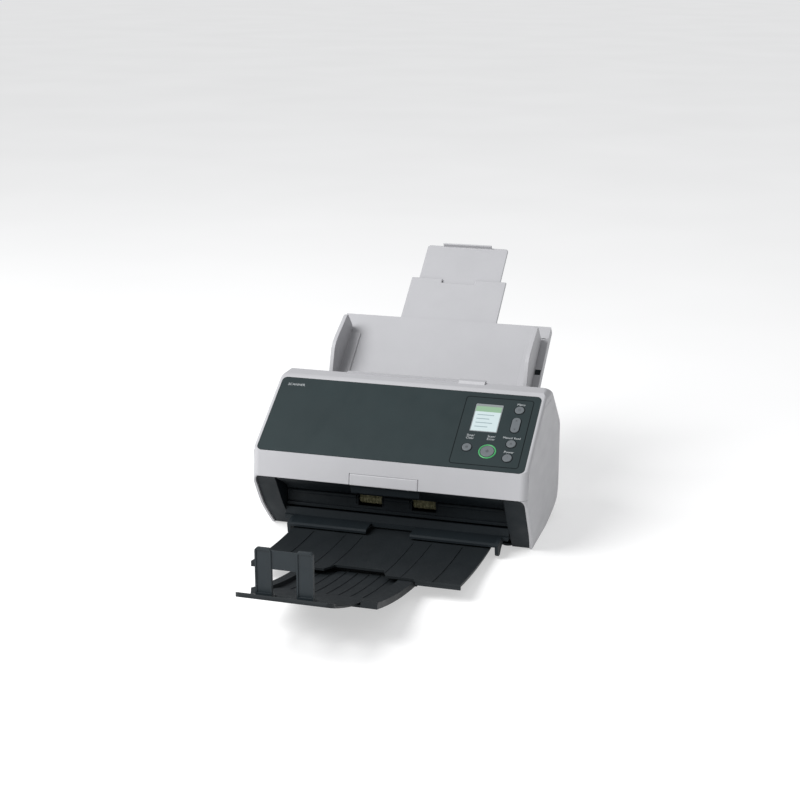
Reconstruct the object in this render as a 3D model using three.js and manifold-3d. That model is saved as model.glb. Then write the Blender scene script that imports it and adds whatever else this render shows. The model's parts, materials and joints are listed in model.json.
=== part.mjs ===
// A desktop sheet fed document scanner: fixed chassis, hinged feeder cover, paper chute with
// coupled side guides, roller train, and a curved stacker that telescopes out of the front.
// Millimetres. X to the right, -Y is the front, +Z up; z = 0 is the table.
import * as THREE from 'three';
import { mergeVertices } from 'three/addons/utils/BufferGeometryUtils.js';
import Module from 'manifold-3d';

const wasm = await Module();
wasm.setup();

const { cos, sin, asin, hypot, PI } = Math;
const degrees = THREE.MathUtils.degToRad;

// ---- Driving dimensions ----

const gap = 0.3; // between pieces that touch or are cut apart
const wall = 3;

const body = {
  halfWidth: 150, front: -89, rear: 85, top: 162, cornerRadius: 8, topRadius: 9, panelRadius: 4,
  floor: 1.4, bandBottom: 72.5, deckTop: 104, taperTop: 40, taperInset: 3.5,
};
const frame = { inner: 125, outer: 127 }; // the side frames stand this far from the middle
const hinge = { y: 39.1, z: 150.2, radius: 1.6, armRadius: 2.9, earRadius: 3.4 };

const latch = { centre: -2.9, halfWidth: 37.5, top: 84 };

// The dark control panel: an inclined plane that starts at the top edge (y, z).
const panel = { y: 2.4, z: 157.6, tilt: degrees(33), length: 104, halfWidth: 145.5, cornerRadius: 5.5 };
const panelThickness = 1.9;
const bezel = { left: 65.4, right: 138.1, top: 6.4, bottom: 98.1, cornerRadius: 3 };
const display = { left: 77.5, right: 107, top: 15.5, bottom: 53.4 };
const rocker = { across: 124.8, down: 41.5, width: 9, length: 20 };
const buttons = [
  { name: 'menu_button', across: 125, down: 20.6, radius: 5 },
  { name: 'feed_button', across: 125, down: 66.8, radius: 5 },
  { name: 'power_button', across: 124.6, down: 85.8, radius: 5 },
  { name: 'stop_button', across: 79.7, down: 76, radius: 5 },
  { name: 'scan_button', across: 102.3, down: 79.4, radius: 7.3 },
];

// The paper path: an inclined plane through the scan line at (y, z).
const path = { y: -18, z: 64.4, tilt: degrees(31) };
const rollers = {
  pick: { along: 46.7, radius: 11, gearRadius: 18, plane: 137.5 },
  feed: { along: 21, radius: 8, gearRadius: 15, plane: 130 },
  eject: { along: -28, radius: 8, gearRadius: 11.25, plane: 130 },
  brake: { along: 37.3, radius: 9 },
};
const pinionRadius = 9;
const idlerRadius = 11.25;
const toothPitch = 0.75; // gear pitch radius per tooth
const shaftRadius = 3;
const gearWidth = 6;

// The paper chute: an inclined plane that starts above the rear of the body at (y, z).
const chute = { y: 89, z: 141, tilt: degrees(38.8), halfWidth: 123, top: 88, bottom: -62 };
const guide = { inner: 110.5, outer: 115, slotAt: -11, slotInner: 29, rackNear: 6.3, rackFar: 9.3 };

// The stacker: all its pieces lie on one arc about the far axis (y, z).
const arc = { y: -82, z: 768, radius: 756.2 };
const tray = { front: -197, middleFront: -194.5, rear: -50, halfWidth: 109, thickness: 2.4 };
const stage1 = { front: -312, rear: -165, left: -62, right: 61, channel: [-52, 45] };
const stage2 = { front: -383, rear: -278, left: -49.5, right: 42.5, cornerRadius: 7 };
const stopper = {
  centre: -3.5, y: -376, depth: 5, post: [11.7, 27], height: 47, halfThickness: 1.9, plateHeight: 17.5,
};
const shelfNotch = [-26, 22.4];

// ---- Materials ----

function plastic(colour, roughness = 0.6) {
  return new THREE.MeshStandardMaterial({ color: colour, roughness, metalness: 0 });
}

function metal(colour, roughness = 0.35) {
  return new THREE.MeshStandardMaterial({ color: colour, roughness, metalness: 1 });
}

const shellGrey = () => plastic(0xcbcbd0, 0.5);
const panelGrey = () => plastic(0x3e4648, 0.45);
const black = () => plastic(0x24282b, 0.6);
const trayBlack = () => plastic(0x2c3236, 0.55);
const rubber = (colour = 0x2a2a2a) => plastic(colour, 0.9);
const steel = () => metal(0xb8bcc0);
const glass = () => plastic(0x9fb2b5, 0.05);
const boardGreen = () => plastic(0x24593a, 0.5);
const gearWhite = () => plastic(0xe4e2d8, 0.5);
const buttonGrey = () => plastic(0x767a7f, 0.5);

// ---- Solids ----

function solid(geometry) {
  const plain = geometry.clone();
  plain.deleteAttribute('normal');
  plain.deleteAttribute('uv');
  const merged = mergeVertices(plain, 1e-4);
  return new wasm.Manifold(new wasm.Mesh({
    numProp: 3,
    vertProperties: new Float32Array(merged.attributes.position.array),
    triVerts: new Uint32Array(merged.index.array),
  }));
}

function geometryOf(manifold) {
  const { vertProperties, triVerts } = manifold.getMesh();
  const geometry = new THREE.BufferGeometry();
  geometry.setAttribute('position', new THREE.BufferAttribute(vertProperties, 3));
  geometry.setIndex(new THREE.BufferAttribute(triVerts, 1));
  geometry.computeVertexNormals();
  return geometry;
}

const join = (...solids) => solids.reduce((whole, next) => whole.add(next));
const cut = (whole, ...tools) => tools.reduce((rest, tool) => rest.subtract(tool), whole);

function extrude(outline, depth, matrix) {
  const shape = outline instanceof THREE.Shape
    ? outline
    : new THREE.Shape(outline.map(([a, b]) => new THREE.Vector2(a, b)));
  const geometry = new THREE.ExtrudeGeometry(shape, { depth, bevelEnabled: false, curveSegments: 5 });
  return solid(geometry.applyMatrix4(matrix));
}

const axisX = new THREE.Vector3(1, 0, 0);
const axisY = new THREE.Vector3(0, 1, 0);
const axisZ = new THREE.Vector3(0, 0, 1);

// A (y, z) outline that runs from x0 to x1.
function prismX(outline, x0, x1) {
  return extrude(outline, x1 - x0, new THREE.Matrix4().makeBasis(axisY, axisZ, axisX).setPosition(x0, 0, 0));
}

// An (x, z) outline that runs from y0 to y1.
function prismY(outline, y0, y1) {
  const back = axisY.clone().negate();
  return extrude(outline, y1 - y0, new THREE.Matrix4().makeBasis(axisX, axisZ, back).setPosition(0, y1, 0));
}

// An (x, y) outline that runs from z0 to z1.
function prismZ(outline, z0, z1) {
  return extrude(outline, z1 - z0, new THREE.Matrix4().makeTranslation(0, 0, z0));
}

function box([x0, x1], [y0, y1], [z0, z1]) {
  return prismZ([[x0, y0], [x1, y0], [x1, y1], [x0, y1]], z0, z1);
}

function rod(radius, x0, x1, y = 0, z = 0, sides = 24) {
  const geometry = new THREE.CylinderGeometry(radius, radius, x1 - x0, sides).rotateZ(PI / 2);
  return solid(geometry.translate((x0 + x1) / 2, y, z));
}

function post(radius, z0, z1, x = 0, y = 0, sides = 20) {
  const geometry = new THREE.CylinderGeometry(radius, radius, z1 - z0, sides).rotateX(PI / 2);
  return solid(geometry.translate(x, y, (z0 + z1) / 2));
}

function sleeve(radius, bore, x0, x1) {
  return cut(rod(radius, x0, x1), rod(bore, x0 - 1, x1 + 1));
}

function roundedRectangle(x0, x1, y0, y1, radius) {
  const shape = new THREE.Shape();
  shape.absarc(x1 - radius, y1 - radius, radius, 0, PI / 2);
  shape.absarc(x0 + radius, y1 - radius, radius, PI / 2, PI);
  shape.absarc(x0 + radius, y0 + radius, radius, PI, 1.5 * PI);
  shape.absarc(x1 - radius, y0 + radius, radius, 1.5 * PI, 2 * PI);
  return shape;
}

function leftNormal([a0, b0], [a1, b1]) {
  const length = hypot(a1 - a0, b1 - b0);
  return [(b0 - b1) / length, (a1 - a0) / length];
}

// The closed outline of an open line that is given a thickness on its left.
function ribbon(line, thickness) {
  const normals = line.slice(1).map((point, i) => leftNormal(line[i], point));
  const offset = line.map(([a, b], i) => {
    const before = normals[Math.max(i - 1, 0)];
    const after = normals[Math.min(i, normals.length - 1)];
    const scale = thickness / (1 + before[0] * after[0] + before[1] * after[1]);
    return [a + (before[0] + after[0]) * scale, b + (before[1] + after[1]) * scale];
  });
  return [...line, ...offset.reverse()];
}

// ---- Frames of reference: each gives the (y, z) of a place on an inclined plane or arc ----

function onPanel(down, above = 0) {
  return [
    panel.y - down * cos(panel.tilt) - above * sin(panel.tilt),
    panel.z - down * sin(panel.tilt) + above * cos(panel.tilt),
  ];
}

function onPath(along, above = 0) {
  return [
    path.y + along * cos(path.tilt) - above * sin(path.tilt),
    path.z + along * sin(path.tilt) + above * cos(path.tilt),
  ];
}

function pathBlock(x0, x1, [t0, t1], [n0, n1]) {
  return prismX([onPath(t0, n0), onPath(t1, n0), onPath(t1, n1), onPath(t0, n1)], x0, x1);
}

function arcAngle(y) {
  return asin((y - arc.y) / arc.radius);
}

function onArc(angle, depth) {
  const radius = arc.radius + depth;
  return [arc.y + radius * sin(angle), arc.z - radius * cos(angle)];
}

const stopperAxis = onArc(arcAngle(stopper.y), stopper.depth);

// A curved plate of the stacker, from front to rear, between two depths below the tray's top.
function curvedPlate([x0, x1], [front, rear], [top, bottom]) {
  const steps = Math.max(2, Math.ceil((rear - front) / 18));
  const angles = Array.from({ length: steps + 1 }, (_, i) => (
    THREE.MathUtils.lerp(arcAngle(front), arcAngle(rear), i / steps)
  ));
  const upper = angles.map((angle) => onArc(angle, top));
  const lower = angles.map((angle) => onArc(angle, bottom)).reverse();
  return prismX([...upper, ...lower], x0, x1);
}

const bothSides = (make) => [-1, 1].map(make);
const span = (side, near, far) => (side < 0 ? [-far, -near] : [near, far]);

// ---- The assembly: three groups, one of them for each inclined plane that carries pieces ----

const scanner = new THREE.Group();
scanner.position.y = 64.9; // puts the middle of the whole object over the origin

const panelGroup = new THREE.Group();
panelGroup.position.set(0, panel.y, panel.z);
panelGroup.rotation.x = panel.tilt;

const chuteGroup = new THREE.Group();
chuteGroup.position.set(0, chute.y, chute.z);
chuteGroup.rotation.x = chute.tilt;
scanner.add(panelGroup, chuteGroup);

function piece(name, manifold, material, parent = scanner) {
  const mesh = new THREE.Mesh(geometryOf(manifold), material);
  mesh.name = name;
  parent.add(mesh);
  return mesh;
}

// ---- Chassis ----

const lowerFront = new THREE.SplineCurve([
  new THREE.Vector2(-88.4, 72.2),
  new THREE.Vector2(-78, 55),
  new THREE.Vector2(-65, 34),
  new THREE.Vector2(-52.5, 18),
  new THREE.Vector2(-39, body.floor),
]).getPoints(8).map(({ x, y }) => [x, y]);

const lowerRear = [[31, body.floor], [41, 3], [70, 9], [82, 15], [body.rear, 18]];

// The body seen from the front: its sides lean in towards the floor.
function frontOutline(inset) {
  const half = body.halfWidth - inset;
  const taper = new THREE.QuadraticBezierCurve(
    new THREE.Vector2(half - body.taperInset, 0),
    new THREE.Vector2(half, body.taperTop / 2),
    new THREE.Vector2(half, body.taperTop),
  ).getPoints(6).map(({ x, y }) => [x, y]);
  const right = [...taper, [half, 200]];
  const left = right.map(([x, z]) => [-x, z]).reverse();
  return [...right, ...left];
}

const bodyOutline = roundedRectangle(
  -body.halfWidth, body.halfWidth, body.front, body.rear + 20, body.cornerRadius,
);
const bodyPlan = prismZ(bodyOutline, -1, 200);
const bodyFront = (inset) => prismY(frontOutline(inset), body.front - 1, body.rear + 1);

// Where the cover meets the side covers: level behind, then parallel to the panel, then level.
const rimDepth = 5;
const coverSeamZ = 148.1;
const coverWrap = -80.7;

function seamLine(drop) {
  const [y0, z0] = onPanel(0, -rimDepth);
  const slope = Math.tan(panel.tilt);
  return [
    [hinge.y, coverSeamZ - drop],
    [y0 + (coverSeamZ - z0) / slope, coverSeamZ - drop],
    [coverWrap + drop, z0 - drop + (coverWrap + drop - y0) * slope],
  ];
}

// The rounded upper corner of the throat, seen from the front: a square corner less a disc.
const throatCorner = { x: 141, z: 66.2, radius: 6, depth: 12 };

function throatFillet(side, grow) {
  const { x, z, radius, depth } = throatCorner;
  const across = span(side, x - grow, body.halfWidth - 2 + grow);
  const square = box(across, [body.front - 1, body.front + depth], [z - grow, z + radius + grow]);
  const disc = new THREE.CylinderGeometry(radius - grow, radius - grow, 2 * depth, 24);
  return cut(square, solid(disc.translate(side * x, body.front + depth / 2, z)));
}

function makeSideCover(side) {
  const towerFront = hinge.y + gap;
  const towerRoof = [[body.rear, body.deckTop], [82, 110], [45, 146], [41, 149.7], [towerFront, 149.1]];
  const seam = seamLine(gap);
  const outline = [
    [towerFront, seam[0][1]], ...seam.slice(1),
    [coverWrap + gap, body.bandBottom - gap],
    ...lowerFront, ...lowerRear,
    ...towerRoof,
  ];
  const [x0, x1] = span(side, body.halfWidth - wall - body.taperInset, body.halfWidth);
  const plate = prismX(outline, x0, x1).intersect(bodyFront(0)).subtract(bodyFront(wall - gap));
  const roof = prismX(ribbon(towerRoof, 2.5), ...span(side, frame.inner - gap, body.halfWidth - 1));
  const armRelief = box(span(side, frame.inner - 1, 134.3), [towerFront - 1, 46], [130, 160]);
  const pillar = box(span(side, 134.3, body.halfWidth - 1), [towerFront, towerFront + 2], [140, 149]);
  const square = box(span(side, frame.inner - 1, body.halfWidth + 1), [towerFront, body.rear], [103.9, 160]);
  const corner = span(side, throatCorner.x - 1, body.halfWidth - 1);
  const fillet = prismX(ribbon(lowerFront.slice(0, 4), wall), ...corner).intersect(throatFillet(side, 0));
  return join(plate, cut(roof.intersect(square), armRelief), pillar, fillet).intersect(bodyPlan);
}

// The throat's cheek is the front flange of the side frame.
function makeSideFrame(side) {
  const inset = 2;
  const curve = lowerFront.map(([y, z]) => [y + inset, Math.min(z + 0.4, body.bandBottom - 1.5)]);
  const bottom = [[31, 5.3], [41, 5.9], [70, 12], [81.4, 18.5]];
  const [frontTop, backTop] = [onPanel(96, -10), onPanel(8, -10)];
  const outline = [
    ...curve, [-34, 5.3], ...bottom,
    [81.4, 103], [76, 110], [46, 139.5], [hinge.y, 143],
    [30, 143], backTop, frontTop, [coverWrap + 1, body.bandBottom - 1],
  ];
  const plate = prismX(outline, ...span(side, frame.inner, frame.outer));
  const ear = join(
    rod(hinge.earRadius, ...span(side, frame.inner, frame.outer), hinge.y, hinge.z),
    box(
      span(side, frame.inner, frame.outer),
      [hinge.y - hinge.earRadius, hinge.y + hinge.earRadius], [138, hinge.z],
    ),
  );
  const flange = prismX(ribbon(curve, 2), ...span(side, frame.inner, body.halfWidth - wall));
  const shafts = ['pick', 'feed', 'eject'].map((name) => {
    const [y, z] = onPath(rollers[name].along, -rollers[name].radius);
    return rod(shaftRadius + gap, ...span(side, frame.inner - 1, frame.outer + 1), y, z);
  });
  const pinHole = rod(hinge.radius + gap, ...span(side, frame.inner - 1, frame.outer + 1), hinge.y, hinge.z);
  const whole = join(plate, ear, flange).intersect(bodyFront(wall + gap));
  return cut(whole, pinHole, ...shafts, throatFillet(side, gap));
}

function makeFloorPan() {
  const line = [[-34.4, body.floor], ...lowerRear.slice(0, 4)];
  const pan = prismX(ribbon(line, 2.2), -146, 146).intersect(bodyFront(wall + gap));
  return cut(pan, box([-66, 66], [-40, -6], [0, 8]));
}

function makeRearCover() {
  const half = body.halfWidth - wall - gap;
  const rearWall = box([-half, half], [82, body.rear], [18.4, body.deckTop - 0.6]);
  const deck = box([-frame.inner + 0.6, frame.inner - 0.6], [52, body.rear], [101, body.deckTop]);
  const sockets = [
    box([-31, -17.4], [70, 90], [49.4, 61.6]),
    box([13.6, 26.4], [70, 90], [49.4, 61.6]),
  ];
  const vents = Array.from({ length: 8 }, (_, i) => {
    const x = 60 + i * 6;
    return box([x, x + 2.6], [80, 90], [60, 86]);
  });
  return cut(join(rearWall, deck).intersect(bodyFront(wall + gap)), ...sockets, ...vents);
}

// The ceiling of the stacker bay, with the side channels that the tray slides in.
function makeMidPlate() {
  const ceiling = curvedPlate([-frame.inner + gap, frame.inner - gap], [-50, 69], [-4.2, -2.2]);
  const channels = bothSides((side) => join(
    curvedPlate(span(side, 110.3, 112.3), [-48, 68], [-2.6, 4.6]),
    curvedPlate(span(side, 106, 112.3), [-48, 68], [3, 4.6]),
  ));
  return join(ceiling, ...channels);
}

function makeShelf() {
  const profile = [
    [-51.4, 27.4], [-53.6, 27.4], [-55, 19.6], [-75, 18.2], [-77.2, 16.6], [-77, 14.2], [-53, 15.2],
  ];
  const back = prismX(profile, -frame.inner + gap, frame.inner - gap)
    .intersect(box([-130, 130], [-58, -40], [0, 40]));
  const [left, right, thickness] = [-115.2, 118.4, 3.6];
  const lip = prismX(profile, left + 1, right - 1);
  const bracket = [
    [-54, 20], [-57, 19.6], [-75, 18.2], [-77.2, 16.6],
    [-75.5, 6], [-72, 3.2], [-67, 3.2], [-62, 8], [-54, 12],
  ];
  const brackets = [left, right - thickness].map((x) => prismX(bracket, x, x + thickness));
  return cut(join(back, lip, ...brackets), box(shelfNotch, [-80, -57], [0, 40]));
}

// ---- Paper path in the chassis ----

const tyreHalf = 25;
const ejectTyre = { centre: 30, halfWidth: 12.5 };

function makeLowerGuide() {
  const thickness = 2;
  const top = -0.8;
  const half = frame.inner - gap;
  const plate = pathBlock(-half, half, [-35, 65], [top - thickness, top]);
  const [yFront] = onPath(-35, top);
  const apronTop = onPath(-35, top - thickness)[1];
  const apron = box([-half, half], [yFront, yFront + 2], [28, apronTop + 1]);
  const rail = box([-half, half], [yFront - 2, yFront + 1], [28.4, 32]);
  const bead = rod(2.2, -half + 6, half - 6, yFront + 0.4, onPath(-35, top - 1.6)[1], 16);
  const slots = [-45, -15, 15, 45].map((x) => box([x - 1, x + 1], [yFront - 4, yFront + 1], [36, 48]));
  const window = (x0, x1, at, reach) => pathBlock(x0, x1, [at - reach, at + reach], [-6, 3]);
  const ejectWindows = bothSides((side) => {
    const [x0, x1] = span(side, ejectTyre.centre - 13.5, ejectTyre.centre + 13.5);
    return join(window(x0, x1, rollers.eject.along, 10), box([x0, x1], [-56, -40], [34.5, 60]));
  });
  return cut(
    join(plate, apron, rail, bead), ...ejectWindows, ...slots,
    window(-tyreHalf - 1, tyreHalf + 1, rollers.pick.along, 9),
    window(-tyreHalf - 1, tyreHalf + 1, rollers.feed.along, 8),
    window(-112.6, 112.6, 0, 6.4),
  );
}

function makeImageSensor(side) {
  return pathBlock(-116, 116, [-10, 10], side < 0 ? [-17, -3.2] : [5, 18]);
}

function makeScanGlass(side) {
  return pathBlock(-112, 112, [-6, 6], side < 0 ? [-2.4, -0.8] : [2.6, 4.3]);
}

// ---- Roller train ----

// The centre of a gear that meshes with the gears at a and b, on the side below them.
function meshingCentre([ay, az], a, [by, bz], b, radius) {
  const apart = hypot(by - ay, bz - az);
  const near = a + radius + 0.2;
  const far = b + radius + 0.2;
  const along = (near ** 2 - far ** 2 + apart ** 2) / (2 * apart);
  const below = Math.sqrt(near ** 2 - along ** 2);
  const [uy, uz] = [(by - ay) / apart, (bz - az) / apart];
  return [ay + along * uy + below * uz, az + along * uz - below * uy];
}

const centre = Object.fromEntries(Object.entries(rollers).map(([name, { along, radius }]) => (
  [name, onPath(along, name === 'brake' ? radius + 0.4 : -radius)]
)));
centre.pinion = meshingCentre(
  centre.feed, rollers.feed.gearRadius, centre.pick, rollers.pick.gearRadius, pinionRadius,
);
const trainLength = rollers.feed.along - rollers.eject.along;
const idlerReach = (rollers.feed.gearRadius + idlerRadius + 0.15) / trainLength;
centre.idler = centre.feed.map((feed, i) => THREE.MathUtils.lerp(feed, centre.eject[i], idlerReach));

function gear(pitchRadius, bore, x0, x1) {
  const teeth = Math.round(pitchRadius / toothPitch);
  const [tip, root] = [pitchRadius - 0.1, pitchRadius - 1.5];
  const outline = Array.from({ length: teeth }, (_, i) => (
    [[-0.3, root], [-0.16, tip], [0.16, tip], [0.3, root]].map(([step, radius]) => {
      const angle = ((i + step) / teeth) * 2 * PI;
      return [radius * cos(angle), radius * sin(angle)];
    })
  )).flat();
  const blank = prismX(outline, x0, x1);
  return bore > 0 ? cut(blank, rod(bore, x0 - 1, x1 + 1)) : blank;
}

function placed(mesh, [y, z], x = 0) {
  mesh.position.set(x, y, z);
}

function addRoller(name, shaftRight, tyres, tyreColour) {
  const { radius, gearRadius, plane } = rollers[name];
  placed(piece(`${name}_shaft`, rod(shaftRadius, -128, shaftRight, 0, 0, 20), steel()), centre[name]);
  for (const { label, from, to } of tyres) {
    placed(piece(label, sleeve(radius, shaftRadius + gap, from, to), rubber(tyreColour)), centre[name]);
  }
  const wheel = gear(gearRadius, shaftRadius + gap, plane, plane + gearWidth);
  placed(piece(`${name}_gear`, wheel, gearWhite()), centre[name]);
}

function addRollerTrain() {
  addRoller('pick', 145, [{ label: 'pick_tyre', from: -tyreHalf, to: tyreHalf }], 0x303236);
  addRoller('feed', 137, [{ label: 'feed_tyre', from: -tyreHalf, to: tyreHalf }], 0x303236);
  const { centre: middle, halfWidth: half } = ejectTyre;
  addRoller('eject', 137, [
    { label: 'left_eject_tyre', from: -middle - half, to: -middle + half },
    { label: 'right_eject_tyre', from: middle - half, to: middle + half },
  ], 0x64624b);
  const pinion = join(gear(pinionRadius, 0, 130, 144), rod(2.5, frame.outer + gap, 131));
  placed(piece('motor_pinion', pinion, gearWhite()), centre.pinion);
  const idler = join(gear(idlerRadius, 0, 130, 136), rod(2.5, frame.outer + gap, 131));
  placed(piece('idler_gear', idler, gearWhite()), centre.idler);
  placed(piece('brake_shaft', rod(shaftRadius, -30, 30, 0, 0, 20), steel()), centre.brake);
  const brake = sleeve(rollers.brake.radius, shaftRadius + gap, -22, 22);
  placed(piece('brake_tyre', brake, rubber(0x64624b)), centre.brake);
}

// ---- Feeder cover ----

// As wide as the body and open below, with its two top corners rounded.
function archOutline(bottom, top, radius) {
  const half = body.halfWidth;
  const shape = new THREE.Shape();
  shape.moveTo(-half, bottom);
  shape.lineTo(half, bottom);
  shape.absarc(half - radius, top - radius, radius, 0, PI / 2);
  shape.absarc(radius - half, top - radius, radius, PI / 2, PI);
  return shape;
}

// The cover's rounded corners: seen from the front, along the panel, and along the leaning band.
function coverEnvelope() {
  const front = prismY(archOutline(0, body.top, body.topRadius), body.front - 1, hinge.y + 10);
  const [down, normal] = [onPanel(1), onPanel(0, 1)].map(
    ([y, z]) => new THREE.Vector3(0, y - panel.y, z - panel.z),
  );
  const start = onPanel(-panel.length);
  const downSlope = new THREE.Matrix4().makeBasis(axisX, normal, down).setPosition(0, ...start);
  const belowPanel = archOutline(-body.rear - body.top, 0, body.panelRadius);
  const alongPanel = extrude(belowPanel, 3 * panel.length, downSlope);
  const [bandY, bandZ] = onPanel(panel.length);
  const lean = (bandY - body.front) / (bandZ - body.bandBottom);
  const below = 10;
  const leaning = new THREE.Matrix4().makeTranslation(0, -below * lean, body.bandBottom - below)
    .multiply(new THREE.Matrix4().makeShear(0, 0, 0, 0, 0, lean));
  const alongBand = extrude(bodyOutline, body.top, leaning);
  return front.intersect(alongPanel).intersect(alongBand);
}

function makeCoverShell() {
  const bandTop = onPanel(panel.length);
  const outer = [
    [body.front, body.bandBottom], bandTop, onPanel(0), [8, 160.8], [24, 162], [27, 160.4],
  ];
  const inner = [
    [25.5, 152], [24.4, 158.8], [9, 157.6], onPanel(-2, -rimDepth),
    onPanel(panel.length - 4, -rimDepth), [body.front + wall, body.bandBottom],
  ];
  const inside = body.halfWidth - wall;
  const shell = prismX([...outer, [28, 152], ...inner], -inside - 0.01, inside + 0.01);
  const seam = seamLine(0);
  const shoulder = [[36, 154], [hinge.y, 151.4]];
  const skirtOutline = [...outer, ...shoulder, ...seam, [coverWrap, body.bandBottom]];
  const skirts = bothSides((side) => prismX(skirtOutline, ...span(side, inside, body.halfWidth)));
  const shoulders = bothSides((side) => prismX(
    [[23, 162], [27, 160.4], ...shoulder, [hinge.y, 148.8], [34, 151.4], [26, 157.5], [23, 158]],
    ...span(side, 127.6, inside + 0.01),
  ));
  const arms = bothSides((side) => {
    const reach = span(side, 128.5, 133.5);
    const [low, high] = [hinge.z - hinge.armRadius, hinge.z + hinge.armRadius];
    const link = prismX([[22, 153], [hinge.y, low], [hinge.y, high], [26, 159]], ...reach);
    return join(rod(hinge.armRadius, ...reach, hinge.y, hinge.z), link);
  });
  const ledge = box([-78, 50], [20, 26.8], [161, 163.2]);
  const tab = prismX([[17, 161], [19.5, 164.2], [26, 164.6], [26.8, 161]], 50, 79);
  const skin = join(shell, ...skirts, ...shoulders, ...arms).intersect(coverEnvelope());
  const latchHole = [latch.centre - latch.halfWidth - gap, latch.centre + latch.halfWidth + gap];
  return cut(
    join(skin, ledge, tab),
    ...bothSides((side) => rod(hinge.radius + gap, ...span(side, 127, 135), hinge.y, hinge.z, 20)),
    panelSlab(roundedPanel(panel.halfWidth + gap, panel.cornerRadius + gap, gap), [-panelThickness - gap, 9]),
    panelSlab(bezelOutline(-3), [-rimDepth - 1, 0]),
    box(latchHole, [-92, -80], [60, latch.top + gap]),
  );
}

// Outlines on the panel are drawn in its own plane: x across, y up the slope.
function roundedPanel(half, radius, margin) {
  return roundedRectangle(-half, half, -panel.length - margin, margin, radius);
}

function bezelOutline(margin) {
  const { left, right, top, bottom, cornerRadius } = bezel;
  return roundedRectangle(
    left - margin, right + margin, -bottom - margin, -top + margin, Math.max(cornerRadius + margin, 1),
  );
}

function panelSlab(outline, [low, high]) {
  const matrix = new THREE.Matrix4().makeRotationX(panel.tilt).setPosition(0, panel.y, panel.z);
  return extrude(outline, high - low, matrix.multiply(new THREE.Matrix4().makeTranslation(0, 0, low)));
}

function makeUpperGuide() {
  const clear = 2.6;
  const half = frame.inner - 1.5;
  const line = [[-85.6, 70.2], [-60, 56.6], onPath(-36, clear), onPath(41, clear), [23, 104], [28, 151.4]];
  const plate = prismX(ribbon(line, 2), -half, half);
  const lipEnds = [latch.centre - latch.halfWidth, latch.centre + latch.halfWidth];
  const lip = prismX([[-84.5, 70.5], [-82, 61], [-79.6, 61.4], [-80, 69]], ...lipEnds);
  return cut(
    join(plate, lip),
    pathBlock(-23, 23, [rollers.brake.along - 9.6, rollers.brake.along + 9.6], [-1, 14]),
    pathBlock(-112.6, 112.6, [-6.4, 6.4], [0, 6]),
  );
}

function makeLatch() {
  const z0 = body.bandBottom - 0.8;
  const profile = [[-89.1, z0], [-87.5, latch.top], [-84.6, latch.top], [-85.9, z0]];
  return prismX(profile, latch.centre - latch.halfWidth, latch.centre + latch.halfWidth);
}

function addPanelPieces() {
  const dark = cut(
    prismZ(roundedPanel(panel.halfWidth, panel.cornerRadius, 0), -panelThickness, -0.1),
    prismZ(bezelOutline(gap), -5, 2),
  );
  piece('front_panel', dark, panelGrey(), panelGroup);
  const cap = (x, y, radius, low, high) => post(radius, low, high, x, y, 28);
  const holes = buttons.map(({ across, down, radius }) => cap(across, -down, radius + 0.35, -9, 5));
  const rockerShape = (grow) => roundedRectangle(
    rocker.across - rocker.width / 2 - grow, rocker.across + rocker.width / 2 + grow,
    -rocker.down - rocker.length / 2 - grow, -rocker.down + rocker.length / 2 + grow,
    rocker.width / 2 + grow - 0.01,
  );
  const { left, right, top, bottom } = display;
  const screenHole = roundedRectangle(left - gap, right + gap, -bottom - gap, -top + gap, 1.2);
  const plate = prismZ(bezelOutline(0), -panelThickness, -0.1);
  piece('control_bezel', cut(
    plate, ...holes, prismZ(rockerShape(0.4), -9, 5), prismZ(screenHole, -9, 5),
  ), panelGrey(), panelGroup);
  piece('display', prismZ(roundedRectangle(left, right, -bottom, -top, 1), -3.4, -0.2), glass(), panelGroup);
  piece('control_board', box([69, 135], [-95, -9.5], [-7.2, -5.6]), boardGreen(), panelGroup);
  for (const { name, across, down, radius } of buttons) {
    piece(name, cap(0, 0, radius, -3.9, 0.9), buttonGrey(), panelGroup).position.set(across, -down, 0);
  }
  piece('rocker_button', prismZ(rockerShape(0), -3.9, 0.9), buttonGrey(), panelGroup);
}

// ---- Paper chute, in its own plane: x across, y up the slope, z above the paper surface ----

const rackTop = -3.6;
const rackBottom = -7.5;

function makeChute() {
  const { halfWidth: half, bottom, top } = chute;
  const plate = box([-half, half], [bottom, top], [-wall, 0]);
  const rims = bothSides((side) => box(span(side, half - 3.5, half), [-36, top], [-11, -1]));
  const runners = bothSides((side) => box(span(side, 60.6, 63), [4, top - 2], [-9.6, -1]));
  const slots = bothSides((side) => box(
    span(side, guide.slotInner, guide.outer + 1.2), [guide.slotAt - 3, guide.slotAt + 3], [-9, 5],
  ));
  const catchPocket = box([115.4, half - 1], [19.5, 27], [-1.4, 1]);
  return cut(join(plate, ...rims, ...runners), ...slots, catchPocket);
}

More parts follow.
